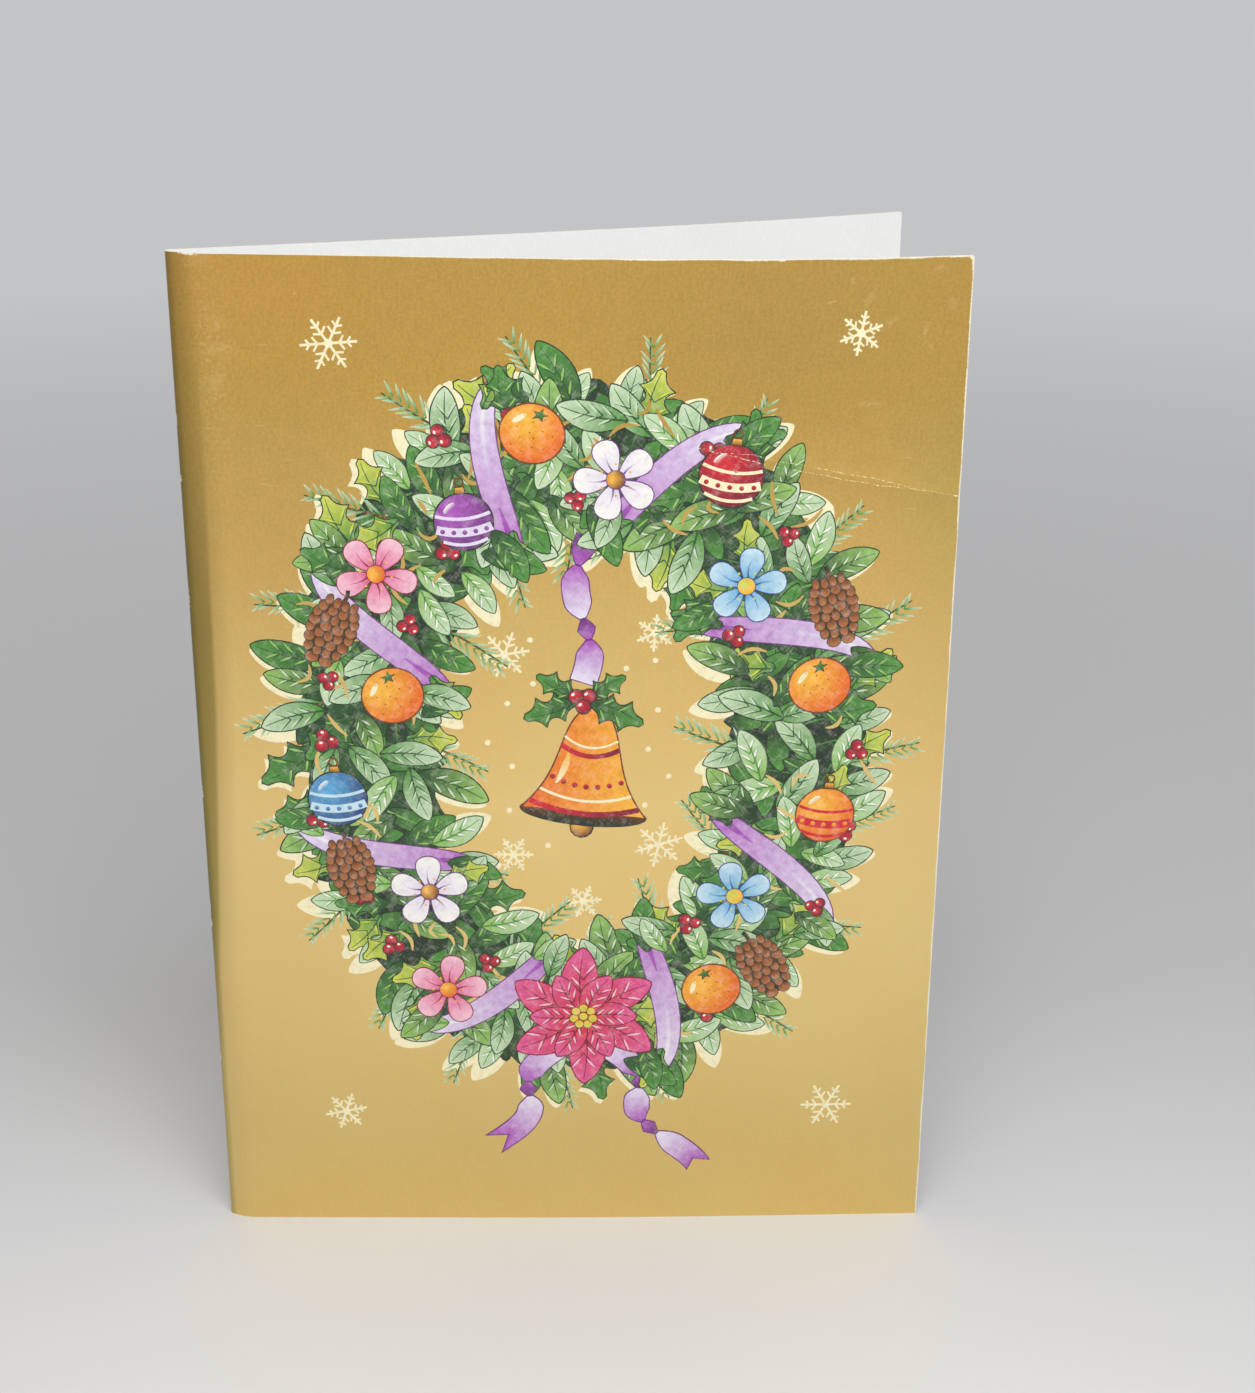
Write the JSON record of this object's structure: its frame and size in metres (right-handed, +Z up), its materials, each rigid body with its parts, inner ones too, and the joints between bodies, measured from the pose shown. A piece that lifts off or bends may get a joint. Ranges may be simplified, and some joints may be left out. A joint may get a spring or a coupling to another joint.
{
  "type": "greeting card",
  "caption": "Tall greeting card of gold foil board with a white inside, folded down its left side and standing half open on its foot.",
  "frame": {"origin": "centre of the bounding box, at the foot on which the card stands", "axes": "+Z up along the fold, the cover faces -Y, the fold is at -X and the two free edges are at +X"},
  "size_m": [0.1274, 0.0478, 0.1778],
  "materials": {
    "foil_board": "satin gold foil outside, matt white paper inside",
    "cover_print": "matt coloured print on the cover"
  },
  "bodies": {
    "root": {"folded_card": "foil_board"}
  },
  "joints": []
}
